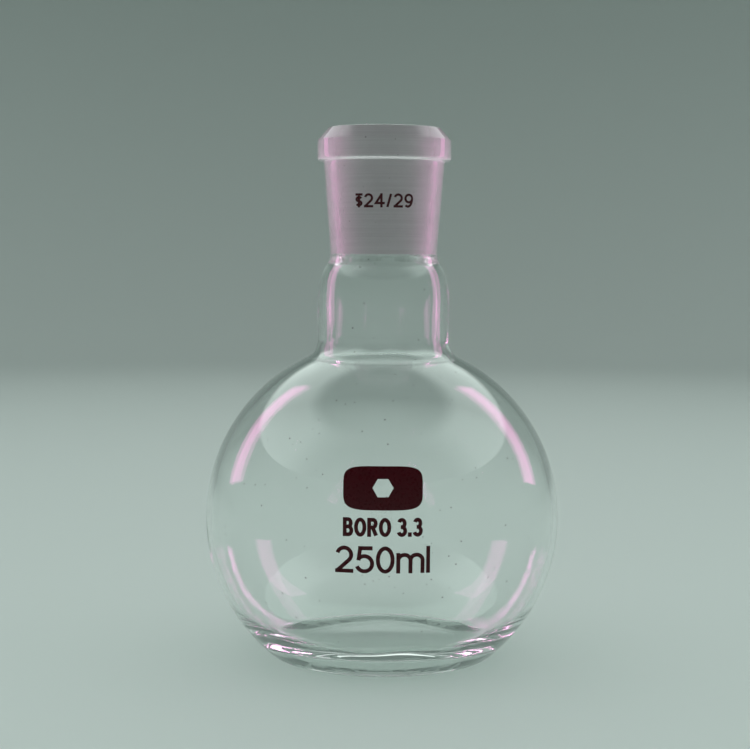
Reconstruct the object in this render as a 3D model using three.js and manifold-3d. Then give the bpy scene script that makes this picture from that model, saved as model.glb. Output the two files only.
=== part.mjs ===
// A 250 ml flat-bottomed boiling flask with one 24/29 ground socket.
// Millimetres, +Z up. The origin is the middle of the base, on the plane that the flask stands on,
// and the printed front faces -Y.
import * as THREE from 'three';
import { mergeVertices } from 'three/addons/utils/BufferGeometryUtils.js';
import Module from 'manifold-3d';

const wasm = await Module();
wasm.setup();

// The bulb: a blown sphere, pressed flat at the foot, with a thick heel and a slightly raised middle.
const BULB_RADIUS = 42.5;
const BULB_CENTRE = 33;
const BULB_WALL = 1.5;
const BASE_THICKNESS = 2.4;
const HEEL_FILLET = 2.5;
const FLOOR_RADIUS = 17.5;
const PUNT_RADIUS = 18.5;
const PUNT_RISE = 0.5;

// The neck: a tube that flares into the bulb and draws in, over a shoulder, to the weld.
const NECK_RADIUS = 15.75;
const NECK_WALL = 1.9;
const NECK_FILLET = 4.5;
const SHOULDER_HEIGHT = 13.8;
const SHOULDER_DROP = 3.4;
const SHOULDER_SPREAD = 0.45;

// The ground socket: a 24 mm mouth with 1:10 of taper on the diameter and 29 mm of ground length.
const TOTAL_HEIGHT = 126;
const MOUTH_RADIUS = 12;
const BORE_SLOPE = 0.05;
const GROUND_LENGTH = 29;
const MOUTH_BEVEL = 0.6;
const RIM_RADIUS = 13.5;
const BEAD_RADIUS = 16;
const BEAD_TOP = 2.9;
const BEAD_BOTTOM = 7.8;
const BEAD_FILLET = 1.2;
const SOCKET_TOP_RADIUS = 14.45;
const SOCKET_FOOT_RADIUS = 12.9;
const WAIST_RADIUS = 12.75;
const WELD_BELOW_RIM = 30.2;
const WELD_GAP = 0.3;

// The fired enamel: how far it stands off the glass, and how thick it is.
const ENAMEL_GAP = 0.15;
const ENAMEL_THICKNESS = 0.2;

// How finely round shapes are divided.
const TURNS = 60;
const BULB_STEPS = 14;
const SMALL_STEPS = 5;
const LETTER_STEPS = 11;
const SHARPEST_MITRE = 0.45;

const WELD_HEIGHT = TOTAL_HEIGHT - WELD_BELOW_RIM;
const NECK_BORE = NECK_RADIUS - NECK_WALL;
const WAIST_BORE = MOUTH_RADIUS - BORE_SLOPE * WELD_BELOW_RIM;
const BULB_BORE = BULB_RADIUS - BULB_WALL;

const CLEAR_GLASS = new THREE.MeshStandardMaterial({
  color: 0xdfe9e6,
  roughness: 0.02,
  metalness: 0,
  transparent: true,
  opacity: 0.35,
});
const GROUND_GLASS = new THREE.MeshStandardMaterial({
  color: 0xcfc6cc,
  roughness: 0.55,
  metalness: 0,
  transparent: true,
  opacity: 0.6,
});
const MAROON_ENAMEL = new THREE.MeshStandardMaterial({ color: 0x3a0a12, roughness: 0.35, metalness: 0 });

const flask = new THREE.Group();

function point(radius, height) {
  return new THREE.Vector2(radius, height);
}

// Points along an arc of a profile, with both ends. Angles are in radians from the radial direction.
function arc(centre, radius, from, to, steps) {
  return Array.from({ length: steps + 1 }, (_, i) => {
    const angle = from + ((to - from) * i) / steps;
    return point(centre.x + radius * Math.cos(angle), centre.y + radius * Math.sin(angle));
  });
}

// A closed profile turned about the vertical axis.
function turned(profile) {
  return new THREE.LatheGeometry(profile, TURNS).rotateX(Math.PI / 2);
}

function addPiece(name, geometry, material) {
  const mesh = new THREE.Mesh(geometry, material);
  mesh.name = name;
  flask.add(mesh);
}

// The flare between a ball on the axis and the tube above it: its centre and the angle that it
// leaves the ball at.
function flare(ballRadius, tubeRadius, fillet) {
  const across = tubeRadius + fillet;
  const up = Math.sqrt((ballRadius + fillet) ** 2 - across ** 2);
  return { centre: point(across, BULB_CENTRE + up), angle: Math.atan2(up, across) };
}

// The curve that draws a tube in from its own radius to the waist at the weld.
function shoulder(tubeRadius, waistRadius) {
  const foot = point(tubeRadius, WELD_HEIGHT - SHOULDER_HEIGHT);
  const lean = point(tubeRadius, WELD_HEIGHT - SHOULDER_DROP / 2);
  const draw = point(waistRadius + SHOULDER_SPREAD, WELD_HEIGHT - SHOULDER_DROP);
  const waist = point(waistRadius, WELD_HEIGHT);
  return new THREE.CubicBezierCurve(foot, lean, draw, waist).getPoints(SMALL_STEPS + 1);
}

// The outside of the body, from the middle of the base up to the weld.
function bodyOutside() {
  const heelRadius = Math.sqrt((BULB_RADIUS - HEEL_FILLET) ** 2 - (BULB_CENTRE - HEEL_FILLET) ** 2);
  const heel = point(heelRadius, HEEL_FILLET);
  const heelAngle = Math.atan2(HEEL_FILLET - BULB_CENTRE, heelRadius);
  const neck = flare(BULB_RADIUS, NECK_RADIUS, NECK_FILLET);
  const flareStart = neck.angle + Math.PI;
  const bulb = arc(point(0, BULB_CENTRE), BULB_RADIUS, heelAngle, neck.angle, BULB_STEPS);
  return [
    point(0, PUNT_RISE),
    point(PUNT_RADIUS / 2, PUNT_RISE * 0.75),
    point(PUNT_RADIUS, 0),
    ...arc(heel, HEEL_FILLET, -Math.PI / 2, heelAngle, 2),
    ...bulb.slice(1),
    ...arc(neck.centre, NECK_FILLET, flareStart, Math.PI, SMALL_STEPS).slice(1),
    ...shoulder(NECK_RADIUS, WAIST_RADIUS),
  ];
}

// The inside of the body, from the weld down to the middle of the floor. A wide fillet joins the
// floor to the wall, which is what makes the heel thick.
function bodyInside() {
  const drop = BULB_CENTRE - BASE_THICKNESS;
  const spare = BULB_BORE ** 2 - FLOOR_RADIUS ** 2 - drop ** 2;
  const fillet = spare / (2 * (BULB_BORE - drop));
  const heel = point(FLOOR_RADIUS, BASE_THICKNESS + fillet);
  const heelAngle = Math.atan2(heel.y - BULB_CENTRE, FLOOR_RADIUS);
  const innerFlare = NECK_FILLET + NECK_WALL;
  const neck = flare(BULB_BORE, NECK_BORE, innerFlare);
  const flareEnd = neck.angle + Math.PI;
  const bulb = arc(point(0, BULB_CENTRE), BULB_BORE, neck.angle, heelAngle, BULB_STEPS);
  return [
    ...shoulder(NECK_BORE, WAIST_BORE).reverse(),
    ...arc(neck.centre, innerFlare, Math.PI, flareEnd, SMALL_STEPS),
    ...bulb.slice(1),
    ...arc(heel, fillet, heelAngle, -Math.PI / 2, SMALL_STEPS).slice(1),
    point(FLOOR_RADIUS / 2, BASE_THICKNESS + PUNT_RISE * 0.75),
    point(0, BASE_THICKNESS + PUNT_RISE),
  ];
}

// The ground socket: bore, bevelled mouth, flat rim, bead and tapering wall, closed on itself.
function socketProfile() {
  const foot = WELD_HEIGHT + WELD_GAP;
  const beadBottom = TOTAL_HEIGHT - BEAD_BOTTOM;
  const beadFillet = point(BEAD_RADIUS - BEAD_FILLET, beadBottom + BEAD_FILLET);
  const groundFoot = TOTAL_HEIGHT - GROUND_LENGTH;
  return [
    point(WAIST_RADIUS, foot),
    point(SOCKET_FOOT_RADIUS, groundFoot),
    point(SOCKET_TOP_RADIUS, beadBottom),
    ...arc(beadFillet, BEAD_FILLET, -Math.PI / 2, 0, SMALL_STEPS - 1),
    point(BEAD_RADIUS, TOTAL_HEIGHT - BEAD_TOP),
    point(RIM_RADIUS, TOTAL_HEIGHT),
    point(MOUTH_RADIUS + MOUTH_BEVEL / 2, TOTAL_HEIGHT),
    point(MOUTH_RADIUS - BORE_SLOPE * MOUTH_BEVEL, TOTAL_HEIGHT - MOUTH_BEVEL),
    point(MOUTH_RADIUS - BORE_SLOPE * GROUND_LENGTH, groundFoot),
    point(WAIST_BORE, foot),
    point(WAIST_RADIUS, foot),
  ];
}

// Two surfaces that enamel is fired on. Each takes a place on the print, right and up from the
// middle of its line, and a height over the glass, and gives the point in space.
function onBulb(height) {
  const rise = Math.asin((height - BULB_CENTRE) / BULB_RADIUS);
  return (right, up, over) => {
    const tilt = rise + up / BULB_RADIUS;
    const turn = right / (BULB_RADIUS * Math.cos(tilt));
    const radius = BULB_RADIUS + over;
    const level = radius * Math.cos(tilt);
    const z = BULB_CENTRE + radius * Math.sin(tilt);
    return new THREE.Vector3(level * Math.sin(turn), -level * Math.cos(turn), z);
  };
}

function onSocket(height) {
  const groundFoot = TOTAL_HEIGHT - GROUND_LENGTH;
  const wallHeight = GROUND_LENGTH - BEAD_BOTTOM;
  const slope = (SOCKET_TOP_RADIUS - SOCKET_FOOT_RADIUS) / wallHeight;
  return (right, up, over) => {
    const wall = SOCKET_FOOT_RADIUS + slope * (height + up - groundFoot);
    const turn = right / wall;
    const level = wall + over;
    return new THREE.Vector3(level * Math.sin(turn), -level * Math.cos(turn), height + up);
  };
}

// Strokes of the printed characters: centre lines in a cell one unit high. An end stands past its
// last point by a share of half the stroke's weight, so 1 squares off a corner.
function stroke(centreLine, startShare = 0, endShare = 0) {
  return { centreLine, startShare, endShare };
}

function curve(x, y, halfWidth, halfHeight, fromDegrees, toDegrees) {
  const start = THREE.MathUtils.degToRad(fromDegrees);
  const end = THREE.MathUtils.degToRad(toDegrees);
  const ellipse = new THREE.EllipseCurve(x, y, halfWidth, halfHeight, start, end, end < start);
  return ellipse.getPoints(LETTER_STEPS);
}

function ring(x, y, halfWidth, halfHeight) {
  return { ring: { x, y, halfWidth, halfHeight } };
}

const CHARACTERS = {
  gap: { width: 0, strokes: [] },
  zero: { width: 0.62, strokes: [ring(0.31, 0.5, 0.31, 0.5)] },
  two: {
    width: 0.62,
    strokes: [
      stroke([...curve(0.31, 0.7, 0.3, 0.3, 165, -43), point(0.03, 0.02)]),
      stroke([point(0, 0), point(0.62, 0)], 1, 1),
    ],
  },
  three: {
    width: 0.6,
    strokes: [
      stroke(curve(0.29, 0.76, 0.26, 0.24, 160, -90)),
      stroke([point(0.19, 0.52), point(0.32, 0.52)]),
      stroke(curve(0.29, 0.26, 0.31, 0.26, 90, -162)),
    ],
  },
  four: {
    width: 0.66,
    strokes: [
      stroke([point(0.47, 0), point(0.47, 1)], 1, 1),
      stroke([point(0.47, 1), point(0, 0.27), point(0.66, 0.27)], 0, 1),
    ],
  },
  five: {
    width: 0.64,
    strokes: [
      stroke([point(0.57, 1), point(0.13, 1)], 1, 1),
      stroke([point(0.13, 1), point(0.06, 0.47)]),
      stroke(curve(0.31, 0.33, 0.33, 0.33, 140, -160)),
    ],
  },
  nine: {
    width: 0.62,
    strokes: [ring(0.31, 0.68, 0.31, 0.32), stroke(curve(0.22, 0.68, 0.4, 0.68, 0, -122))],
  },
  slash: { width: 0.28, strokes: [stroke([point(0, 0), point(0.28, 1)], 0.6, 0.6)] },
  point: { width: 0, strokes: [stroke([point(0, 0), point(0, 0.04)], 1, 1)] },
  B: {
    width: 0.62,
    strokes: [
      stroke([point(0, 0), point(0, 1)], 1, 1),
      stroke([point(0, 1), ...curve(0.32, 0.76, 0.24, 0.24, 90, -90), point(0, 0.52)]),
      stroke([point(0, 0.52), ...curve(0.34, 0.26, 0.28, 0.26, 90, -90), point(0, 0)]),
    ],
  },
  O: { width: 0.78, strokes: [ring(0.39, 0.5, 0.39, 0.5)] },
  R: {
    width: 0.64,
    strokes: [
      stroke([point(0, 0), point(0, 1)], 1, 1),
      stroke([point(0, 1), ...curve(0.34, 0.75, 0.26, 0.25, 90, -90), point(0, 0.5)]),
      stroke([point(0.32, 0.5), point(0.62, 0)], 0, 0.4),
    ],
  },
  m: {
    width: 1.04,
    strokes: [
      stroke([point(0, 0), point(0, 0.72)], 1, 1),
      stroke([...curve(0.26, 0.48, 0.26, 0.24, 180, 0), point(0.52, 0)], 0, 1),
      stroke([...curve(0.78, 0.48, 0.26, 0.24, 180, 0), point(1.04, 0)], 0, 1),
    ],
  },
  l: { width: 0, strokes: [stroke([point(0, 0), point(0, 1)], 1, 1)] },
  // The standard-taper sign is an S over a T.
  taper: {
    width: 0.4,
    strokes: [
      stroke([point(0, 1), point(0.4, 1)], 1, 1),
      stroke([point(0.2, 0), point(0.2, 1)], 1, 0),
      stroke([...curve(0.2, 0.64, 0.17, 0.15, 20, 270), ...curve(0.2, 0.34, 0.17, 0.15, 90, -160).slice(1)]),
    ],
  },
};

// The outline of one stroke: its centre line spread to both sides, with mitred corners.
function strokeOutline({ centreLine, startShare, endShare }, weight) {
  const half = weight / 2;
  const last = centreLine.length - 1;
  const legs = centreLine.slice(1).map((end, i) => end.clone().sub(centreLine[i]).normalize());
  const left = [];
  const right = [];
  centreLine.forEach((place, i) => {
    const before = legs[Math.max(i - 1, 0)];
    const after = legs[Math.min(i, last - 1)];
    const along = before.clone().add(after).normalize();
    const reach = half / Math.max(along.dot(after), SHARPEST_MITRE);
    const past = i === last ? endShare : i === 0 ? -startShare : 0;
    const spine = place.clone().addScaledVector(along, past * half);
    left.push(point(spine.x - along.y * reach, spine.y + along.x * reach));
    right.unshift(point(spine.x + along.y * reach, spine.y - along.x * reach));
  });
  return new THREE.Shape([...left, ...right].reverse());
}

function ringOutline({ x, y, halfWidth, halfHeight }, weight) {
  const half = weight / 2;
  const outline = new THREE.Shape();
  outline.absellipse(x, y, halfWidth + half, halfHeight + half, 0, 2 * Math.PI, false);
  const hole = new THREE.Path();
  hole.absellipse(x, y, halfWidth - half, halfHeight - half, 0, 2 * Math.PI, true);
  outline.holes.push(hole);
  return outline;
}

function solidOf(geometry) {
  const bare = geometry.clone();
  bare.deleteAttribute('normal');
  bare.deleteAttribute('uv');
  const merged = mergeVertices(bare);
  const vertProperties = new Float32Array(merged.attributes.position.array);
  const triVerts = new Uint32Array(merged.index.array);
  return new wasm.Manifold(new wasm.Mesh({ numProp: 3, vertProperties, triVerts }));
}

function geometryOf(solid) {
  const mesh = solid.getMesh();
  const geometry = new THREE.BufferGeometry();
  geometry.setAttribute('position', new THREE.BufferAttribute(mesh.vertProperties, mesh.numProp));
  geometry.setIndex(new THREE.BufferAttribute(mesh.triVerts, 1));
  return geometry;
}

// Lays a flat plate, whose z is its height over the glass, on a curved surface.
function laid(geometry, surface) {
  const places = geometry.attributes.position;
  const place = new THREE.Vector3();
  for (let i = 0; i < places.count; i += 1) {
    place.fromBufferAttribute(places, i);
    places.setXYZ(i, ...surface(place.x, place.y, place.z));
  }
  return geometry;
}

// Sets a stroke in its cell: the cell's left edge, width and height are those of the centre lines.
function strokeInCell(part, left, width, height) {
  const place = (x, y) => point(left + x * width, (y - 0.5) * height);
  if (part.ring) {
    const middle = place(part.ring.x, part.ring.y);
    const halfWidth = part.ring.halfWidth * width;
    const halfHeight = part.ring.halfHeight * height;
    return { ring: { x: middle.x, y: middle.y, halfWidth, halfHeight } };
  }
  return { ...part, centreLine: part.centreLine.map((p) => place(p.x, p.y)) };
}

// One character as a flat plate: its strokes cut to thickness and joined.
function characterPlate(character, weight, left, width, height) {
  const options = { depth: ENAMEL_THICKNESS, bevelEnabled: false, curveSegments: LETTER_STEPS };
  const solids = character.strokes.map((part) => {
    const placed = strokeInCell(part, left + weight / 2, width, height);
    const outline = placed.ring ? ringOutline(placed.ring, weight) : strokeOutline(placed, weight);
    return solidOf(new THREE.ExtrudeGeometry(outline, options).translate(0, 0, ENAMEL_GAP));
  });
  return geometryOf(solids.reduce((joined, solid) => joined.add(solid)));
}

// A printed line: its characters side by side, centred, each one a piece of its own.
function addPrint(line, surface, { size, weight, space, narrow, characters }) {
  const height = size - weight;
  const width = height * narrow;
  const advance = (name) => CHARACTERS[name].width * width + weight + space;
  let left = (space - characters.reduce((sum, name) => sum + advance(name), 0)) / 2;
  characters.forEach((name, i) => {
    if (CHARACTERS[name].strokes.length > 0) {
      const plate = characterPlate(CHARACTERS[name], weight, left, width, height);
      addPiece(`${line}_${i + 1}_${name}`, laid(plate, surface), MAROON_ENAMEL);
    }
    left += advance(name);
  });
}

// The marking field: a plate with softly rounded corners and a six-sided window in its middle,
// meshed as rings from the window out to the edge, so that it can follow the glass.
const FIELD = { halfWidth: 8.7, halfHeight: 4.85, squareness: 4.5, window: 2.3, rings: 5, turns: 48 };

function fieldEdge(angle) {
  const soft = (share, reach) => Math.sign(share) * Math.abs(share) ** (2 / FIELD.squareness) * reach;
  return point(soft(Math.cos(angle), FIELD.halfWidth), soft(Math.sin(angle), FIELD.halfHeight));
}

function fieldWindow(angle) {
  const side = Math.PI / 3;
  const fromCorner = angle % side;
  const radius = (FIELD.window * Math.cos(side / 2)) / Math.cos(fromCorner - side / 2);
  return point(radius * Math.cos(angle), radius * Math.sin(angle));
}

function fieldPlate() {
  const { rings, turns } = FIELD;
  const places = [];
  const loops = 2 * (rings + 1);
  for (let ring = 0; ring < loops; ring += 1) {
    const top = ring <= rings;
    const share = (top ? ring : loops - 1 - ring) / rings;
    const over = top ? ENAMEL_GAP + ENAMEL_THICKNESS : ENAMEL_GAP;
    for (let turn = 0; turn < turns; turn += 1) {
      const angle = (2 * Math.PI * turn) / turns;
      const place = fieldWindow(angle).lerp(fieldEdge(angle), share);
      places.push(place.x, place.y, over);
    }
  }
  const faces = [];
  for (let ring = 0; ring < loops; ring += 1) {
    for (let turn = 0; turn < turns; turn += 1) {
      const next = (turn + 1) % turns;
      const here = ring * turns;
      const beyond = ((ring + 1) % loops) * turns;
      faces.push(here + turn, beyond + turn, beyond + next);
      faces.push(here + turn, beyond + next, here + next);
    }
  }
  const geometry = new THREE.BufferGeometry();
  geometry.setAttribute('position', new THREE.Float32BufferAttribute(places, 3));
  geometry.setIndex(faces);
  return geometry;
}

// The printed lines: the joint size on the socket, then the field, the glass type and the
// capacity down the front of the bulb.
const FIELD_HEIGHT = 45.6;
const JOINT_SIZE = {
  size: 3.25,
  weight: 0.45,
  space: 0.45,
  narrow: 1,
  characters: ['taper', 'two', 'four', 'slash', 'two', 'nine'],
};
const JOINT_SIZE_HEIGHT = 108.5;
const GLASS_TYPE = {
  size: 4.1,
  weight: 0.68,
  space: 0.3,
  narrow: 0.72,
  characters: ['B', 'O', 'R', 'O', 'gap', 'three', 'point', 'three'],
};
const GLASS_TYPE_HEIGHT = 37.3;
const CAPACITY = {
  size: 5.9,
  weight: 0.72,
  space: 0.46,
  narrow: 1,
  characters: ['two', 'five', 'zero', 'm', 'l'],
};
const CAPACITY_HEIGHT = 30.2;

addPiece('flask_body', turned([...bodyOutside(), ...bodyInside()]), CLEAR_GLASS);
addPiece('ground_socket', turned(socketProfile()), GROUND_GLASS);
addPiece('marking_field', laid(fieldPlate(), onBulb(FIELD_HEIGHT)), MAROON_ENAMEL);
addPrint('joint_size', onSocket(JOINT_SIZE_HEIGHT), JOINT_SIZE);
addPrint('glass_type', onBulb(GLASS_TYPE_HEIGHT), GLASS_TYPE);
addPrint('capacity', onBulb(CAPACITY_HEIGHT), CAPACITY);

export default flask;
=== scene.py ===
import math

import bmesh
import bpy
from mathutils import Matrix, Vector
from mathutils.geometry import delaunay_2d_cdt


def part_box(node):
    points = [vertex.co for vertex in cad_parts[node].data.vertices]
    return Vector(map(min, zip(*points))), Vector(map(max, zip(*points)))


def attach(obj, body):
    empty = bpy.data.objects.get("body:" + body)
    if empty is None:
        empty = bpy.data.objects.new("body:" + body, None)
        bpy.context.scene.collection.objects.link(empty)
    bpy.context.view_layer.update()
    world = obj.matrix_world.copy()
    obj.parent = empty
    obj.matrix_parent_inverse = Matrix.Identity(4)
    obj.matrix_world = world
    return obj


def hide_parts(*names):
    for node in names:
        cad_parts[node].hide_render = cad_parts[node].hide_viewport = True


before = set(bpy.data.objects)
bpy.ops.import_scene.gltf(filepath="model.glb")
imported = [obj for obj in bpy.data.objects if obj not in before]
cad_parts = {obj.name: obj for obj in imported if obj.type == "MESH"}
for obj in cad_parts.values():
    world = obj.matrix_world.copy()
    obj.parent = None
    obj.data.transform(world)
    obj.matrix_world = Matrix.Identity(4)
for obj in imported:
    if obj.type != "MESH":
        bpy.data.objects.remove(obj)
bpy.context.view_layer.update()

MM = 0.001
# Points closer than this, in mm, count as one.
SAME_PLACE = 1e-6

# The bulb and its foot.
BULB_RADIUS = 42.5
BULB_CENTRE = 33.0
BULB_WALL = 1.5
BASE_THICKNESS = 2.4
HEEL_FILLET = 2.5
FLOOR_RADIUS = 17.5
PUNT_RADIUS = 18.5
PUNT_RISE = 0.5

# The neck, up to the weld under the socket. The shoulder's drop and spread shape its curve.
NECK_RADIUS = 15.75
NECK_WALL = 1.9
NECK_FILLET = 4.5
SHOULDER_HEIGHT = 13.8
SHOULDER_DROP = 3.4
SHOULDER_SPREAD = 0.45
WELD_HEIGHT = 95.8

# The ground socket, whose frost ends a margin above the weld.
RIM_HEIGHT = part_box("ground_socket")[1].z / MM
MOUTH_RADIUS = 12.0
BORE_SLOPE = 0.05
GROUND_LENGTH = 29.0
MOUTH_BEVEL = 0.6
RIM_RADIUS = 13.5
BEAD_RADIUS = 16.0
BEAD_TOP = 2.9
BEAD_BOTTOM = 7.8
SOCKET_TOP_RADIUS = 14.45
SOCKET_FOOT_RADIUS = 12.9
WAIST_RADIUS = 12.75
FROST_MARGIN = 0.35

# Where the waist bends into the tapering wall: how far out and how far below the ground bore.
WAIST_SPREAD = 0.02
WAIST_DROP = 0.3

# The socket's fillets, from the waist up to the rim.
WAIST_FILLET = 4.0
BEAD_ROOT_FILLET = 0.45
BEAD_FOOT_FILLET = 0.8
BEAD_HEAD_FILLET = 0.35
RIM_FILLET = 0.25

BULB_BORE = BULB_RADIUS - BULB_WALL
NECK_BORE = NECK_RADIUS - NECK_WALL
GROUND_FOOT = RIM_HEIGHT - GROUND_LENGTH
WAIST_BORE = MOUTH_RADIUS - BORE_SLOPE * (RIM_HEIGHT - WELD_HEIGHT)

# The fired enamel: where its two faces stand over the glass, and how finely it is divided.
ENAMEL_FOOT = 0.015
ENAMEL_TOP = 0.05
FILM_PITCH = 0.4

# How finely the glass is divided.
TURNS = 256
BULB_STEPS = 84
FLARE_STEPS = 16
SHOULDER_STEPS = 36
FLOOR_STEPS = 40
DOME_STEPS = 12
HEEL_STEPS = 8
CORNER_STEPS = 5
WALL_STEP = 0.8
EDGE_STEP = 0.4


# ---------------------------------------------------------------- profiles

def arc(centre, radius, start, end, steps):
    """Points along an arc of a profile, with both ends; angles are from the radial direction."""
    turn = (end - start) / steps
    angles = [start + turn * i for i in range(steps + 1)]
    return [(centre[0] + radius * math.cos(a), centre[1] + radius * math.sin(a)) for a in angles]


def line(start, end, step):
    """Points along a straight stretch of a profile, about a step apart, with both ends."""
    count = max(1, round(math.dist(start, end) / step))
    return [
        (start[0] + (end[0] - start[0]) * i / count, start[1] + (end[1] - start[1]) * i / count)
        for i in range(count + 1)
    ]


def bezier(p0, p1, p2, p3, steps):
    """Points along a cubic curve with two handles, with both ends."""
    points = []
    for i in range(steps + 1):
        t = i / steps
        shares = ((1 - t) ** 3, 3 * t * (1 - t) ** 2, 3 * t * t * (1 - t), t ** 3)
        pulled = [Vector(p) * share for p, share in zip((p0, p1, p2, p3), shares)]
        points.append(tuple(sum(pulled, Vector((0, 0)))))
    return points


def rounded(corners, step):
    """A polyline of (radius, height, fillet) corners, with each fillet cut as an arc."""
    points = [corners[0][:2]]
    for before, corner, after in zip(corners, corners[1:], corners[2:]):
        here = Vector(corner[:2])
        back = (Vector(before[:2]) - here).normalized()
        on = (Vector(after[:2]) - here).normalized()
        half = back.angle(on) / 2
        reach = corner[2] / math.tan(half)
        middle = here + (back + on).normalized() * corner[2] / math.sin(half)
        start = here + back * reach - middle
        sweep = start.angle_signed(here + on * reach - middle)
        points += line(points[-1], here + back * reach, step)[1:]
        for i in range(1, CORNER_STEPS + 1):
            spoke = Matrix.Rotation(-sweep * i / CORNER_STEPS, 2) @ start
            points.append(tuple(middle + spoke))
    return points + line(points[-1], corners[-1][:2], step)[1:]


def flare(ball, tube, fillet):
    """The flare between a ball on the axis and the tube above it: its centre and where it starts."""
    across = tube + fillet
    up = math.sqrt((ball + fillet) ** 2 - across ** 2)
    return (across, BULB_CENTRE + up), math.atan2(up, across)


def shoulder(tube, waist):
    """The curve that draws a tube in, from its own radius to the waist at the weld."""
    foot = (tube, WELD_HEIGHT - SHOULDER_HEIGHT)
    lean = (tube, WELD_HEIGHT - SHOULDER_DROP / 2)
    draw = (waist + SHOULDER_SPREAD, WELD_HEIGHT - SHOULDER_DROP)
    return bezier(foot, lean, draw, (waist, WELD_HEIGHT), SHOULDER_STEPS)


def skin(kind, points):
    """Profile points with the name of the skin that they belong to."""
    return [(radius, height, kind) for radius, height in points]


def joined(*runs):
    """Runs of a profile one after another, without the points that they share."""
    whole = []
    for run in runs:
        fresh = not whole or math.dist(whole[-1][:2], run[0][:2]) > SAME_PLACE
        whole += run if fresh else run[1:]
    return whole


def dome(foot, radius):
    """The profile of the raised middle of the base, from its middle out to its edge."""
    shares = [i / DOME_STEPS for i in range(DOME_STEPS + 1)]
    return [(radius * t, foot + PUNT_RISE * (math.cos(math.pi * t) + 1) / 2) for t in shares]


def body_profile():
    """The body in one run: from under the base, out and up to the weld, and back down inside."""
    heel_radius = math.sqrt((BULB_RADIUS - HEEL_FILLET) ** 2 - (BULB_CENTRE - HEEL_FILLET) ** 2)
    heel_angle = math.atan2(HEEL_FILLET - BULB_CENTRE, heel_radius)
    heel_centre = (heel_radius, HEEL_FILLET)
    flare_centre, flare_angle = flare(BULB_RADIUS, NECK_RADIUS, NECK_FILLET)
    neck_foot = (NECK_RADIUS, flare_centre[1])
    neck_head = WELD_HEIGHT - SHOULDER_HEIGHT
    outside = joined(
        skin("under", dome(0, PUNT_RADIUS)),
        skin("under", line((PUNT_RADIUS, 0), (heel_radius, 0), WALL_STEP)),
        skin("outer", arc(heel_centre, HEEL_FILLET, -math.pi / 2, heel_angle, HEEL_STEPS)),
        skin("outer", arc((0, BULB_CENTRE), BULB_RADIUS, heel_angle, flare_angle, BULB_STEPS)),
        skin("outer", arc(flare_centre, NECK_FILLET, flare_angle + math.pi, math.pi, FLARE_STEPS)),
        skin("outer", line(neck_foot, (NECK_RADIUS, neck_head), WALL_STEP)),
        skin("outer", shoulder(NECK_RADIUS, WAIST_RADIUS)),
    )
    drop = BULB_CENTRE - BASE_THICKNESS
    spare = BULB_BORE ** 2 - FLOOR_RADIUS ** 2 - drop ** 2
    floor_fillet = spare / (2 * (BULB_BORE - drop))
    floor_centre = (FLOOR_RADIUS, BASE_THICKNESS + floor_fillet)
    floor_angle = math.atan2(floor_centre[1] - BULB_CENTRE, FLOOR_RADIUS)
    inner_fillet = NECK_FILLET + NECK_WALL
    bore_centre, bore_angle = flare(BULB_BORE, NECK_BORE, inner_fillet)
    bore_foot = (NECK_BORE, bore_centre[1])
    inside = joined(
        skin("inner", shoulder(NECK_BORE, WAIST_BORE)[::-1]),
        skin("inner", line((NECK_BORE, neck_head), bore_foot, WALL_STEP)),
        skin("inner", arc(bore_centre, inner_fillet, math.pi, bore_angle + math.pi, FLARE_STEPS)),
        skin("inner", arc((0, BULB_CENTRE), BULB_BORE, bore_angle, floor_angle, BULB_STEPS)),
        skin("inner", arc(floor_centre, floor_fillet, floor_angle, -math.pi / 2, FLOOR_STEPS)),
        skin("inner", dome(BASE_THICKNESS, FLOOR_RADIUS)[::-1]),
    )
    inside[0] = (*inside[0][:2], "seam")
    return outside + inside


def socket_profile():
    """The socket as one closed run, from the weld up the outside and back down the bore."""
    bead_bottom = RIM_HEIGHT - BEAD_BOTTOM
    wall = [
        (WAIST_RADIUS, WELD_HEIGHT, 0),
        (WAIST_RADIUS + WAIST_SPREAD, GROUND_FOOT - WAIST_DROP, WAIST_FILLET),
        (SOCKET_TOP_RADIUS, bead_bottom, BEAD_ROOT_FILLET),
        (BEAD_RADIUS, bead_bottom, BEAD_FOOT_FILLET),
        (BEAD_RADIUS, RIM_HEIGHT - BEAD_TOP, BEAD_HEAD_FILLET),
        (RIM_RADIUS, RIM_HEIGHT, RIM_FILLET),
        (MOUTH_RADIUS + MOUTH_BEVEL / 2, RIM_HEIGHT, 0),
    ]
    bevel_foot = (MOUTH_RADIUS - BORE_SLOPE * MOUTH_BEVEL, RIM_HEIGHT - MOUTH_BEVEL)
    ground_foot = (WAIST_BORE + BORE_SLOPE * FROST_MARGIN, WELD_HEIGHT + FROST_MARGIN)
    outside = [
        (radius, height, "wall" if height < bead_bottom - WALL_STEP else "outer")
        for radius, height in rounded(wall, WALL_STEP)
    ]
    bevel = skin("outer", line(wall[-1][:2], bevel_foot, EDGE_STEP))
    bore = skin("ground", line(bevel_foot, ground_foot, WALL_STEP))
    foot = skin("inner", line(ground_foot, (WAIST_BORE, WELD_HEIGHT), EDGE_STEP))
    return joined(outside, bevel, bore, foot)


# ---------------------------------------------------------------- glass meshes

# Blown glass isn't even: long shallow waves, as (turns round the axis, radians per mm, phase).
WAVES = ((2, 0.07, 0.4), (3, -0.11, 1.9), (5, 0.16, 3.1), (7, -0.23, 5.2), (11, 0.31, 0.9))


def wave(angle, height):
    """The waves together, from -1 to 1, at a place on the glass."""
    return sum(math.sin(m * angle + k * height + p) for m, k, p in WAVES) / len(WAVES)


def near(value, middle, width):
    """1 at the middle, falling off smoothly to both sides."""
    return math.exp(-(((value - middle) / width) ** 2))


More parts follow.
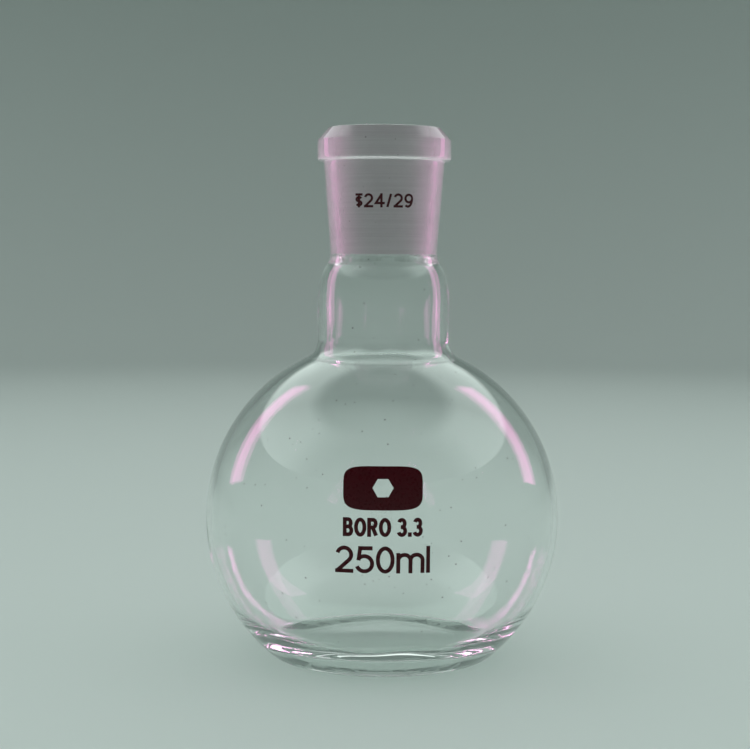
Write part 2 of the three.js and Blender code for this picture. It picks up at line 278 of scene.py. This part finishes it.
# How far the waves push the outside and the inside of the glass, in mm, and how much further the
# inside is pushed at the foot of the neck and in the heel, with how far up and down that reaches.
OUTER_WAVE = 0.018
INNER_WAVE = 0.05
NECK_FOOT_WAVE = 0.13
NECK_FOOT_DROP = 2.0
NECK_FOOT_HEIGHT = flare(BULB_BORE, NECK_BORE, NECK_FILLET + NECK_WALL)[0][1] - NECK_FOOT_DROP
NECK_FOOT_REACH = 3.0
HEEL_WAVE = 0.45
HEEL_HEIGHT = 5.0
HEEL_REACH = 4.0


def unevenness(kind, radius, height):
    """How far the waves push each skin of the glass, in mm."""
    if kind == "outer":
        return OUTER_WAVE
    if kind == "inner":
        neck_foot = NECK_FOOT_WAVE * near(height, NECK_FOOT_HEIGHT, NECK_FOOT_REACH)
        heel = HEEL_WAVE * near(height, HEEL_HEIGHT, HEEL_REACH)
        return INNER_WAVE + neck_foot + heel * min(1.0, radius / FLOOR_RADIUS)
    return 0.0


def place(radius, height, kind, angle):
    """A profile point turned to an angle and pushed by the waves, which end 1 mm off the axis."""
    radius += unevenness(kind, radius, height) * wave(angle, height) * min(1.0, radius)
    return Vector((radius * math.sin(angle), -radius * math.cos(angle), height)) * MM


def strip_of_faces(bm, low, high, turns):
    """The smooth faces between two rings; a ring of one point is a pole."""
    faces = []
    for i in range(turns):
        after = (i + 1) % turns
        below = [low[i % len(low)], low[after % len(low)]]
        above = [high[after % len(high)], high[i % len(high)]]
        face = bm.faces.new(list(dict.fromkeys(below + above)))
        face.smooth = True
        faces.append(face)
    return faces


def linked_object(name, bm):
    """A new object in the scene from a finished bmesh."""
    mesh = bpy.data.meshes.new(name)
    bm.to_mesh(mesh)
    bm.free()
    obj = bpy.data.objects.new(name, mesh)
    bpy.context.scene.collection.objects.link(obj)
    return obj


def turned(name, profile, closed, slots):
    """A profile turned about the axis. Each strip takes the material of its later point's skin."""
    bm = bmesh.new()
    rings = []
    for radius, height, kind in profile:
        if radius < SAME_PLACE:
            rings.append([bm.verts.new(Vector((0, 0, height)) * MM)])
            continue
        angles = [2 * math.pi * i / TURNS for i in range(TURNS)]
        rings.append([bm.verts.new(place(radius, height, kind, angle)) for angle in angles])
    pairs = list(zip(rings, rings[1:], profile[1:]))
    if closed:
        pairs.append((rings[-1], rings[0], (0, 0, "seam")))
    for low, high, (_, _, kind) in pairs:
        for face in strip_of_faces(bm, low, high, TURNS):
            face.material_index = slots.index(kind) if kind in slots else 0
    for edge in bm.edges:
        if len({face.material_index for face in edge.link_faces}) > 1:
            edge.smooth = False
    bmesh.ops.recalc_face_normals(bm, faces=bm.faces)
    return linked_object(name, bm)


# ---------------------------------------------------------------- enamel prints

def on_bulb(height):
    """The bulb as a surface to print on: (right, up, over) in mm from the print's middle."""
    rise = math.asin((height - BULB_CENTRE) / BULB_RADIUS)

    def surface(right, up, over):
        tilt = rise + up / BULB_RADIUS
        turn = right / (BULB_RADIUS * math.cos(tilt))
        radius = BULB_RADIUS + over
        level = radius * math.cos(tilt)
        z = BULB_CENTRE + radius * math.sin(tilt)
        return Vector((level * math.sin(turn), -level * math.cos(turn), z)) * MM

    return surface


def on_socket(height):
    """The socket's tapering wall as a surface to print on."""
    slope = (SOCKET_TOP_RADIUS - SOCKET_FOOT_RADIUS) / (GROUND_LENGTH - BEAD_BOTTOM)

    def surface(right, up, over):
        wall = SOCKET_FOOT_RADIUS + slope * (height + up - GROUND_FOOT)
        turn = right / wall
        level = wall + over
        return Vector((level * math.sin(turn), -level * math.cos(turn), height + up)) * MM

    return surface


CURVE_STEPS = 28


def curve(x, y, half_width, half_height, start, end):
    """Points along an ellipse, between two angles in degrees."""
    turn = (end - start) / CURVE_STEPS
    angles = [math.radians(start + turn * i) for i in range(CURVE_STEPS + 1)]
    return [(x + half_width * math.cos(a), y + half_height * math.sin(a)) for a in angles]


def ring(x, y, half_width, half_height):
    """A whole ellipse, as two strokes that overlap a little at their ends."""
    lap = 3
    return [
        (curve(x, y, half_width, half_height, -lap, 180 + lap), 0, 0),
        (curve(x, y, half_width, half_height, 180 - lap, 360 + lap), 0, 0),
    ]


# Each character is a width and its strokes, in a cell one unit high. A stroke is its centre line
# and how far each end stands past its last point, as a share of half its weight.
CHARACTERS = {
    "gap": (0, []),
    "zero": (0.62, ring(0.31, 0.5, 0.31, 0.5)),
    "two": (0.62, [
        ([*curve(0.31, 0.7, 0.3, 0.3, 165, -43), (0.03, 0.02)], 0, 0),
        ([(0, 0), (0.62, 0)], 1, 1),
    ]),
    "three": (0.6, [
        (curve(0.29, 0.76, 0.26, 0.24, 160, -90), 0, 0),
        ([(0.19, 0.52), (0.32, 0.52)], 0, 0),
        (curve(0.29, 0.26, 0.31, 0.26, 90, -162), 0, 0),
    ]),
    "four": (0.66, [
        ([(0.47, 0), (0.47, 1)], 1, 1),
        ([(0.47, 1), (0, 0.27), (0.66, 0.27)], 0, 1),
    ]),
    "five": (0.64, [
        ([(0.57, 1), (0.13, 1)], 1, 1),
        ([(0.13, 1), (0.06, 0.47)], 0, 0),
        (curve(0.31, 0.33, 0.33, 0.33, 140, -160), 0, 0),
    ]),
    "nine": (0.62, [
        *ring(0.31, 0.68, 0.31, 0.32),
        (curve(0.22, 0.68, 0.4, 0.68, 0, -122), 0, 0),
    ]),
    "slash": (0.28, [([(0, 0), (0.28, 1)], 0.6, 0.6)]),
    "point": (0, [([(0, 0), (0, 0.04)], 1, 1)]),
    "B": (0.62, [
        ([(0, 0), (0, 1)], 1, 1),
        ([(0, 1), *curve(0.32, 0.76, 0.24, 0.24, 90, -90), (0, 0.52)], 0, 0),
        ([(0, 0.52), *curve(0.34, 0.26, 0.28, 0.26, 90, -90), (0, 0)], 0, 0),
    ]),
    "O": (0.78, ring(0.39, 0.5, 0.39, 0.5)),
    "R": (0.64, [
        ([(0, 0), (0, 1)], 1, 1),
        ([(0, 1), *curve(0.34, 0.75, 0.26, 0.25, 90, -90), (0, 0.5)], 0, 0),
        ([(0.32, 0.5), (0.62, 0)], 0, 0.4),
    ]),
    "m": (1.04, [
        ([(0, 0), (0, 0.72)], 1, 1),
        ([*curve(0.26, 0.48, 0.26, 0.24, 180, 0), (0.52, 0)], 0, 1),
        ([*curve(0.78, 0.48, 0.26, 0.24, 180, 0), (1.04, 0)], 0, 1),
    ]),
    "l": (0, [([(0, 0), (0, 1)], 1, 1)]),
    "taper": (0.46, [
        ([(0, 1), (0.46, 1)], 1, 1),
        ([(0.23, 0), (0.23, 1)], 1, 0),
        ([*curve(0.23, 0.6, 0.23, 0.17, 25, 270), *curve(0.23, 0.26, 0.23, 0.17, 90, -155)[1:]], 0, 0),
    ]),
}

# The most that a corner is mitred, as the cosine of half its turn, and the angle from which the
# edges of a film stay sharp. Corners closer than the merge distance, in mm, are made one.
SHARPEST_MITRE = 0.45
SHARP_ANGLE = math.radians(35)
MERGE_DISTANCE = 1e-5


def stroke_outline(centre_line, start_share, end_share, weight):
    """The outline of one stroke: its centre line spread to both sides, with mitred corners."""
    half = weight / 2
    places = [Vector(p) for p in centre_line]
    legs = [(b - a).normalized() for a, b in zip(places, places[1:])]
    left, right = [], []
    last = len(places) - 1
    for i, spot in enumerate(places):
        before, after = legs[max(i - 1, 0)], legs[min(i, last - 1)]
        along = (before + after).normalized()
        reach = half / max(along.dot(after), SHARPEST_MITRE)
        past = {0: -start_share, last: end_share}.get(i, 0)
        spine = spot + along * past * half
        side = Vector((-along.y, along.x)) * reach
        left.append(spine + side)
        right.append(spine - side)
    return (left + right[::-1])[::-1]


def grid(outlines, pitch):
    """Points on a grid over the box that holds some outlines."""
    xs = [p.x for outline in outlines for p in outline]
    ys = [p.y for outline in outlines for p in outline]
    columns = range(math.floor(min(xs) / pitch), math.ceil(max(xs) / pitch) + 1)
    rows = range(math.floor(min(ys) / pitch), math.ceil(max(ys) / pitch) + 1)
    return [Vector((i * pitch, j * pitch)) for i in columns for j in rows]


def film(name, outlines, surface, pitch, hole=None):
    """A thin closed film over the union of some outlines, laid on a surface of the glass."""
    points, faces = [], []
    for outline in outlines + ([hole] if hole else []):
        faces.append(list(range(len(points), len(points) + len(outline))))
        points += outline
    points += grid(outlines, pitch)
    spots, _, triangles, _, _, covered = delaunay_2d_cdt(points, [], faces, 1, MERGE_DISTANCE)
    hole_face = len(outlines)
    kept = [t for t, owners in zip(triangles, covered) if owners and hole_face not in owners]
    bm = bmesh.new()
    used = sorted({v for t in kept for v in t})
    low = {v: bm.verts.new(surface(*spots[v], ENAMEL_FOOT)) for v in used}
    high = {v: bm.verts.new(surface(*spots[v], ENAMEL_TOP)) for v in used}
    edges = {pair for t in kept for pair in zip(t, [*t[1:], t[0]])}
    for triangle in kept:
        bm.faces.new([high[v] for v in triangle])
        bm.faces.new([low[v] for v in reversed(triangle)])
    for a, b in sorted(edges):
        if (b, a) not in edges:
            bm.faces.new([high[b], high[a], low[a], low[b]])
    bmesh.ops.recalc_face_normals(bm, faces=bm.faces)
    for edge in bm.edges:
        edge.smooth = edge.calc_face_angle(0) < SHARP_ANGLE
    for face in bm.faces:
        face.smooth = True
    return linked_object(name, bm)


def print_line(line_name, surface, size, weight, space, narrow, characters):
    """A printed line: its characters side by side, centred, each one a piece of its own.

    The size is the height of a capital and the weight that of its strokes, both in mm, as is the
    space between characters. Narrow is their width as a share of the usual one.
    """
    height = size - weight
    width = height * narrow
    advances = [CHARACTERS[c][0] * width + weight + space for c in characters]
    left = (space - sum(advances)) / 2
    pieces = []
    for i, (character, advance) in enumerate(zip(characters, advances)):
        strokes = CHARACTERS[character][1]
        outlines = [
            stroke_outline(
                [(left + weight / 2 + x * width, (y - 0.5) * height) for x, y in centre_line],
                start, end, weight,
            )
            for centre_line, start, end in strokes
        ]
        if outlines:
            node = f"{line_name}_{i + 1}_{character}"
            piece = film(f"{node}_print", outlines, surface, FILM_PITCH)
            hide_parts(node)
            pieces.append(piece)
        left += advance
    return pieces


# The marking field: softly squared, with a six-sided window.
FIELD_HALF_WIDTH = 8.7
FIELD_HALF_HEIGHT = 4.85
FIELD_SQUARENESS = 4.5
FIELD_WINDOW = 2.3
FIELD_STEPS = 160


def squared(share, reach):
    """One coordinate of a superellipse, from its sine or cosine."""
    return math.copysign(abs(share) ** (2 / FIELD_SQUARENESS), share) * reach


def field_piece(surface):
    """The marking field: one film with a window in it."""
    edge = [
        Vector((squared(math.cos(a), FIELD_HALF_WIDTH), squared(math.sin(a), FIELD_HALF_HEIGHT)))
        for a in (2 * math.pi * i / FIELD_STEPS for i in range(FIELD_STEPS))
    ]
    corners = [math.pi / 3 * i for i in range(6)]
    window = [Vector((FIELD_WINDOW * math.cos(a), FIELD_WINDOW * math.sin(a))) for a in corners]
    piece = film("marking_field_print", [edge], surface, FILM_PITCH, hole=window)
    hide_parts("marking_field")
    return piece


# ---------------------------------------------------------------- materials

GLASS_IOR = 1.473
ENAMEL_IOR = 1.5

# Clear glass: clean, under a thin film, in a speck, and what a lamp's light keeps in passing.
CLEAN_GLASS = (0.985, 0.995, 0.99)
FILMED_GLASS = (0.955, 0.98, 0.97)
GLASS_SPECK = (0.34, 0.31, 0.32)
GLASS_PASSES = (0.9, 0.92, 0.91)

# Ground glass: its mottle, its grinding marks, its specks, and what it lets pass.
GROUND_DARK = (0.44, 0.4, 0.42)
GROUND_LIGHT = (0.53, 0.49, 0.51)
GROUND_MARK = (0.36, 0.33, 0.34)
GROUND_SPECK = (0.14, 0.12, 0.12)
GROUND_PASSES = (0.8, 0.8, 0.8)

# The enamel's mottle.
ENAMEL_DARK = (0.035, 0.001, 0.003)
ENAMEL_LIGHT = (0.06, 0.002, 0.006)

# The floor on the flat and up its wall, and where its paint starts to deepen and is at its
# deepest, in metres up the wall.
FLOOR_PALE = (0.61, 0.665, 0.645)
FLOOR_DEEP = (0.42, 0.47, 0.45)
PAINT_FADE = (0.02, 0.5)

# Where a speck's edge starts to fade, as a share of its size.
SPECK_CORE = 0.7


def shader_tree(name):
    """A new material and its node tree, empty."""
    material = bpy.data.materials.new(name)
    material.use_nodes = True
    tree = material.node_tree
    tree.nodes.clear()
    return material, tree


def add(tree, kind, inputs=None, **settings):
    """A node with its settings and inputs; an input is a value or another node's output."""
    node = tree.nodes.new(kind)
    for key, value in settings.items():
        setattr(node, key, value)
    for key, value in (inputs or {}).items():
        if isinstance(value, bpy.types.NodeSocket):
            tree.links.new(value, node.inputs[key])
        else:
            node.inputs[key].default_value = value
    return node


def maths(tree, operation, *values):
    """The result of a sum on some values, each of which is a number or a node's output."""
    node = add(tree, "ShaderNodeMath", dict(enumerate(values)), operation=operation)
    return node.outputs[0]


def noise(tree, scale, detail, stretch=(1, 1, 1)):
    """Noise over the object's own coordinates, in features per metre."""
    where = add(tree, "ShaderNodeTexCoord").outputs["Object"]
    mapping = add(tree, "ShaderNodeMapping", {"Vector": where, "Scale": stretch})
    inputs = {"Vector": mapping.outputs[0], "Scale": scale, "Detail": detail}
    return add(tree, "ShaderNodeTexNoise", inputs).outputs["Fac"]


def spread(tree, value, low, high, to_low=0.0, to_high=1.0):
    """A value mapped from one range to another, and held at its ends."""
    inputs = {"Value": value, "From Min": low, "From Max": high, "To Min": to_low, "To Max": to_high}
    return add(tree, "ShaderNodeMapRange", inputs).outputs[0]


def colour_mix(tree, share, first, second):
    """Two colours mixed by a share; the first one may be another node's output."""
    start = first if isinstance(first, bpy.types.NodeSocket) else (*first, 1)
    inputs = {0: share, 6: start, 7: (*second, 1)}
    return add(tree, "ShaderNodeMix", inputs, data_type="RGBA").outputs[2]


def lets_lamps_through(tree, shader, tint):
    """Shadow and diffuse rays pass straight through the glass, a little dimmed."""
    path = add(tree, "ShaderNodeLightPath").outputs
    straight = maths(tree, "MAXIMUM", path["Is Shadow Ray"], path["Is Diffuse Ray"])
    clear = add(tree, "ShaderNodeBsdfTransparent", {"Color": (*tint, 1)})
    mixed = add(tree, "ShaderNodeMixShader", {0: straight, 1: shader, 2: clear.outputs[0]})
    add(tree, "ShaderNodeOutputMaterial", {"Surface": mixed.outputs[0]})


def specks(tree, scale, size):
    """Tiny scattered specks: 1 in a speck and 0 elsewhere; scale in cells per metre."""
    where = add(tree, "ShaderNodeTexCoord").outputs["Object"]
    cells = add(tree, "ShaderNodeTexVoronoi", {"Vector": where, "Scale": scale})
    return spread(tree, cells.outputs["Distance"], size * SPECK_CORE, size, 1.0, 0.0)


def clear_glass(name, dimples):
    """Blown glass; dimples is how deep its fine pressed texture is, in metres."""
    material, tree = shader_tree(name)
    film_noise = noise(tree, scale=38.0, detail=4.0)
    clean = colour_mix(tree, film_noise, CLEAN_GLASS, FILMED_GLASS)
    colour = colour_mix(tree, specks(tree, scale=230.0, size=0.058), clean, GLASS_SPECK)
    clouds = noise(tree, scale=60.0, detail=5.0)
    haze = spread(tree, clouds, low=0.45, high=0.75, to_high=0.035)
    cords = noise(tree, scale=90.0, detail=2.0, stretch=(1, 1, 0.25))
    bump = add(tree, "ShaderNodeBump", {"Strength": 0.05, "Distance": 0.0002, "Height": cords})
    if dimples:
        pits = noise(tree, scale=2400.0, detail=1.0)
        pitted = {"Distance": dimples, "Height": pits, "Normal": bump.outputs[0]}
        bump = add(tree, "ShaderNodeBump", pitted)
    glass = add(tree, "ShaderNodeBsdfPrincipled", {
        "Base Color": colour,
        "Roughness": haze,
        "IOR": GLASS_IOR,
        "Transmission Weight": 1.0,
        "Normal": bump.outputs[0],
    })
    lets_lamps_through(tree, glass.outputs[0], GLASS_PASSES)
    return material


def ground_glass():
    """The ground bore: rough and milky, with fine marks round it from the grinding."""
    material, tree = shader_tree("ground_bore")
    mottle = noise(tree, scale=220.0, detail=4.0)
    clean = colour_mix(tree, mottle, GROUND_DARK, GROUND_LIGHT)
    marks = noise(tree, scale=130.0, detail=5.0, stretch=(0.35, 0.35, 24.0))
    marked_share = spread(tree, marks, low=0.35, high=0.7, to_high=0.3)
    marked = colour_mix(tree, marked_share, clean, GROUND_MARK)
    colour = colour_mix(tree, specks(tree, scale=380.0, size=0.055), marked, GROUND_SPECK)
    roughness = spread(tree, marks, low=0.3, high=0.7, to_low=0.55, to_high=0.72)
    grain = noise(tree, scale=5200.0, detail=2.0)
    bump = add(tree, "ShaderNodeBump", {"Strength": 0.25, "Distance": 0.00005, "Height": grain})
    glass = add(tree, "ShaderNodeBsdfPrincipled", {
        "Base Color": colour,
        "Roughness": roughness,
        "IOR": GLASS_IOR,
        "Transmission Weight": 0.86,
        "Normal": bump.outputs[0],
    })
    lets_lamps_through(tree, glass.outputs[0], GROUND_PASSES)
    return material


def weld_glass():
    """The face that two welded pieces share: there is no surface there, so it shows nothing."""
    material, tree = shader_tree("weld")
    clear = add(tree, "ShaderNodeBsdfTransparent")
    add(tree, "ShaderNodeOutputMaterial", {"Surface": clear.outputs[0]})
    return material


def maroon_enamel():
    """Fired enamel: nearly opaque and satin, with a little orange peel."""
    material, tree = shader_tree("maroon_enamel")
    mottle = noise(tree, scale=900.0, detail=4.0)
    colour = colour_mix(tree, mottle, ENAMEL_DARK, ENAMEL_LIGHT)
    wear = noise(tree, scale=1500.0, detail=3.0)
    roughness = spread(tree, wear, low=0.3, high=0.7, to_low=0.22, to_high=0.4)
    peel = noise(tree, scale=2600.0, detail=3.0)
    bump = add(tree, "ShaderNodeBump", {"Strength": 0.2, "Distance": 0.00003, "Height": peel})
    enamel = add(tree, "ShaderNodeBsdfPrincipled", {
        "Base Color": colour,
        "Roughness": roughness,
        "IOR": ENAMEL_IOR,
        "Specular IOR Level": 0.2,
        "Normal": bump.outputs[0],
    })
    add(tree, "ShaderNodeOutputMaterial", {"Surface": enamel.outputs[0]})
    return material


def floor_paint():
    """Pale on the flat, and a deeper grey up the wall."""
    material, tree = shader_tree("floor")
    where = add(tree, "ShaderNodeTexCoord").outputs["Object"]
    height = add(tree, "ShaderNodeSeparateXYZ", {0: where}).outputs["Z"]
    colour = colour_mix(tree, spread(tree, height, *PAINT_FADE), FLOOR_PALE, FLOOR_DEEP)
    paint = add(tree, "ShaderNodeBsdfPrincipled", {"Base Color": colour, "Roughness": 0.7})
    add(tree, "ShaderNodeOutputMaterial", {"Surface": paint.outputs[0]})
    return material


# ---------------------------------------------------------------- the flask

SOCKET_DIMPLES = 0.00008

# What each skin of the glass is made of. A skin that isn't named here takes the first.
SKINS = {
    "outer": clear_glass("clear_borosilicate", 0),
    "ground": ground_glass(),
    "seam": weld_glass(),
    "wall": clear_glass("socket_wall", SOCKET_DIMPLES),
}
ENAMEL = maroon_enamel()


def glass_piece(name, node, profile, closed):
    """A turned piece of glass that stands in for a node."""
    piece = turned(name, profile, closed, list(SKINS))
    for material in SKINS.values():
        piece.data.materials.append(material)
    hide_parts(node)
    return piece


body = glass_piece("blown_body", "flask_body", body_profile(), False)
socket = glass_piece("joint_socket", "ground_socket", socket_profile(), True)

# How high the middles of the prints are on the glass.
JOINT_SIZE_HEIGHT = 108.5
FIELD_HEIGHT = 45.6
GLASS_TYPE_HEIGHT = 37.3
CAPACITY_HEIGHT = 30.2

prints = [
    field_piece(on_bulb(FIELD_HEIGHT)),
    *print_line(
        "joint_size", on_socket(JOINT_SIZE_HEIGHT), size=3.25, weight=0.54, space=0.36, narrow=1.0,
        characters=["taper", "two", "four", "slash", "two", "nine"],
    ),
    *print_line(
        "glass_type", on_bulb(GLASS_TYPE_HEIGHT), size=4.1, weight=0.84, space=0.18, narrow=0.72,
        characters=["B", "O", "R", "O", "gap", "three", "point", "three"],
    ),
    *print_line(
        "capacity", on_bulb(CAPACITY_HEIGHT), size=6.0, weight=0.88, space=0.36, narrow=1.0,
        characters=["two", "five", "zero", "m", "l"],
    ),
]
for piece in prints:
    piece.data.materials.append(ENAMEL)
flask = [body, socket, *prints]
for piece in flask:
    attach(piece, "root")


# ---------------------------------------------------------------- the studio

# The floor: its flat part, the bend at its edge and the top of the wall above it, in mm, and how
# finely each is divided.
FLOOR_FLAT = 1000.0
FLOOR_STEP = 40.0
FLOOR_BEND = 400.0
FLOOR_BEND_STEPS = 24
FLOOR_WALL = 760.0
FLOOR_WALL_STEP = 60.0
FLOOR_TURNS = 128


def sweep():
    """A round pale floor that curves up into a low wall all round."""
    outer = FLOOR_FLAT + FLOOR_BEND
    profile = joined(
        line((0, 0), (FLOOR_FLAT, 0), FLOOR_STEP),
        arc((FLOOR_FLAT, FLOOR_BEND), FLOOR_BEND, -math.pi / 2, 0, FLOOR_BEND_STEPS),
        line((outer, FLOOR_BEND), (outer, FLOOR_WALL), FLOOR_WALL_STEP),
    )
    angles = [2 * math.pi * i / FLOOR_TURNS for i in range(FLOOR_TURNS)]
    bm = bmesh.new()
    rings = []
    for radius, height in profile:
        around = angles if radius else angles[:1]
        spots = [Vector((radius * math.cos(a), radius * math.sin(a), height)) for a in around]
        rings.append([bm.verts.new(spot * MM) for spot in spots])
    for low, high in zip(rings, rings[1:]):
        strip_of_faces(bm, high, low, FLOOR_TURNS)
    floor = linked_object("floor", bm)
    floor.data.materials.append(floor_paint())


def area_light(name, location, size, power, colour):
    """A rectangular light that the camera doesn't see; it shines down until it is turned."""
    light = bpy.data.lights.new(name, "AREA")
    light.shape = "RECTANGLE"
    light.size, light.size_y = size
    light.energy = power
    light.color = colour
    obj = bpy.data.objects.new(name, light)
    obj.location = location
    bpy.context.scene.collection.objects.link(obj)
    obj.visible_camera = False
    return obj


# A strip light on the left, in millimetres and radians: where its middle is, which way it faces,
# how it is rolled and how large it is. The right one is its mirror image.
STRIP_PLACE = Vector((-174.0, 93.2, 155.6))
STRIP_AZIMUTH = 0.424
STRIP_ELEVATION = -0.424
STRIP_ROLL = -0.174
STRIP_SIZE = (69.6, 197.3)
STRIP_POWER = 0.1
STRIP_COLOUR = (1.0, 0.34, 0.74)

# A strip light shows on paths that have crossed fewer faces of glass than this, or that have been
# mirrored at least once.
FACES_CROSSED = 3.5
ONCE_MIRRORED = 0.5

# A glint light is a strip light's brighter twin, which only the blown glass sees. It shows on paths
# with 2 to 16 mirrorings, given by the middle of that range and half its width. It is this far
# behind the strip, in metres, so that the two don't lie in one plane.
GLINT_STRENGTH = 5.0
GLINT_MIDDLE = 9.0
GLINT_REACH = 7.5
GLINT_BEHIND = 0.0003

# The soft light above, in metres and watts.
OVERHEAD_PLACE = (0.0, -0.1, 1.5)
OVERHEAD_SIZE = (1.6, 1.6)
OVERHEAD_POWER = 7.0


def strip_strength(tree, path):
    """A strip light shows if few faces of glass are crossed, or any of them is a mirror."""
    crossing = maths(tree, "LESS_THAN", path["Transmission Depth"], FACES_CROSSED)
    mirrored = maths(tree, "GREATER_THAN", path["Glossy Depth"], ONCE_MIRRORED)
    return maths(tree, "MAXIMUM", crossing, mirrored)


def glint_strength(tree, path):
    """A glint light shows only in glass that mirrors it again and again."""
    caught = maths(tree, "COMPARE", path["Glossy Depth"], GLINT_MIDDLE, GLINT_REACH)
    return maths(tree, "MULTIPLY", caught, GLINT_STRENGTH)


def strip_light(side, kind, behind, receivers, strength):
    """A strip light beside the flask, on the right if side is 1, which only its receivers see."""
    out = Vector((
        math.cos(STRIP_ELEVATION) * math.cos(STRIP_AZIMUTH),
        math.cos(STRIP_ELEVATION) * math.sin(STRIP_AZIMUTH),
        math.sin(STRIP_ELEVATION),
    ))
    level = Vector((-math.sin(STRIP_AZIMUTH), math.cos(STRIP_AZIMUTH), 0))
    across = Matrix.Rotation(STRIP_ROLL, 3, out) @ out.cross(level)
    mirror = Vector((-side, 1, 1))
    back = -out * mirror
    length = across * mirror
    width = length.cross(back)
    size = [edge * MM for edge in STRIP_SIZE]
    name = f"{kind}_right" if side > 0 else f"{kind}_left"
    place = STRIP_PLACE * mirror * MM + back * behind
    obj = area_light(name, place, size, STRIP_POWER, STRIP_COLOUR)
    obj.rotation_euler = Matrix((width, length, back)).transposed().to_euler()
    obj.light_linking.receiver_collection = receivers
    obj.data.use_nodes = True
    tree = obj.data.node_tree
    tree.nodes.clear()
    path = add(tree, "ShaderNodeLightPath").outputs
    shine = {"Color": (1, 1, 1, 1), "Strength": strength(tree, path)}
    glow = add(tree, "ShaderNodeEmission", shine)
    add(tree, "ShaderNodeOutputLight", {"Surface": glow.outputs[0]})


def studio():
    """The floor, the strip and glint lights and the soft light above."""
    sweep()
    whole = bpy.data.collections.new("flask")
    for piece in flask:
        whole.objects.link(piece)
    blown = bpy.data.collections.new("blown")
    blown.objects.link(body)
    for side in (-1, 1):
        strip_light(side, "strip", 0, whole, strip_strength)
        strip_light(side, "glint", GLINT_BEHIND, blown, glint_strength)
    top = area_light("overhead", OVERHEAD_PLACE, OVERHEAD_SIZE, OVERHEAD_POWER, (1.0, 1.0, 1.0))
    top.visible_glossy = False
    top.visible_transmission = False


# The sky's light. The ring's foot, head and soft edge are sines of the elevation, and its opening
# is where it fades out towards the camera, by the direction's share along Y.
RING_FOOT = 0.42
RING_HEAD = 0.8
RING_EDGE = 0.08
RING_OPENING = (-0.55, -0.15)
RING_LIGHT = (1.2, 1.36, 1.3)
SKY_LIGHT = (0.1, 0.125, 0.12)


def sky():
    """A bright ring above the wall, open on the side of the camera, and dark overhead."""
    world = bpy.data.worlds.new("sky")
    bpy.context.scene.world = world
    world.use_nodes = True
    tree = world.node_tree
    tree.nodes.clear()
    where = add(tree, "ShaderNodeTexCoord").outputs["Generated"]
    axes = add(tree, "ShaderNodeSeparateXYZ", {0: where}).outputs
    foot = spread(tree, axes["Z"], RING_FOOT - RING_EDGE, RING_FOOT)
    head = spread(tree, axes["Z"], RING_HEAD, RING_HEAD + RING_EDGE, 1.0, 0.0)
    behind = spread(tree, axes["Y"], *RING_OPENING)
    band = maths(tree, "MULTIPLY", foot, head)
    share = maths(tree, "MULTIPLY", band, behind)
    colour = colour_mix(tree, share, SKY_LIGHT, RING_LIGHT)
    glow = add(tree, "ShaderNodeBackground", {"Color": colour, "Strength": 1.0})
    add(tree, "ShaderNodeOutputWorld", {"Surface": glow.outputs[0]})


# The camera, in metres and degrees, with its lens and sensor in mm.
CAMERA_PLACE = Vector((-0.0019, -0.375, 0.0957))
CAMERA_PITCH = -4.35
CAMERA_ROLL = 0.36
CAMERA_LENS = 74.8
CAMERA_SENSOR = 36.0
CAMERA_NEAR = 0.01


def camera():
    """The camera in front of the flask, a little above its middle and tipped down."""
    data = bpy.data.cameras.new("camera")
    data.lens = CAMERA_LENS
    data.sensor_width = CAMERA_SENSOR
    data.clip_start = CAMERA_NEAR
    obj = bpy.data.objects.new("camera", data)
    obj.matrix_world = (
        Matrix.Translation(CAMERA_PLACE)
        @ Matrix.Rotation(math.radians(90 + CAMERA_PITCH), 4, "X")
        @ Matrix.Rotation(math.radians(CAMERA_ROLL), 4, "Z")
    )
    bpy.context.scene.collection.objects.link(obj)
    bpy.context.scene.camera = obj


LIGHT_BOUNCES = 128


def render_settings():
    """Enough bounces for light that is caught between the faces of a wall, and plain colours."""
    scene = bpy.context.scene
    scene.view_settings.view_transform = "Standard"
    cycles = scene.cycles
    cycles.max_bounces = LIGHT_BOUNCES
    cycles.transmission_bounces = LIGHT_BOUNCES
    cycles.glossy_bounces = LIGHT_BOUNCES
    cycles.transparent_max_bounces = LIGHT_BOUNCES
    cycles.sample_clamp_indirect = 0.0
    cycles.caustics_reflective = False
    cycles.caustics_refractive = False
    cycles.use_denoising = True


studio()
sky()
camera()
render_settings()
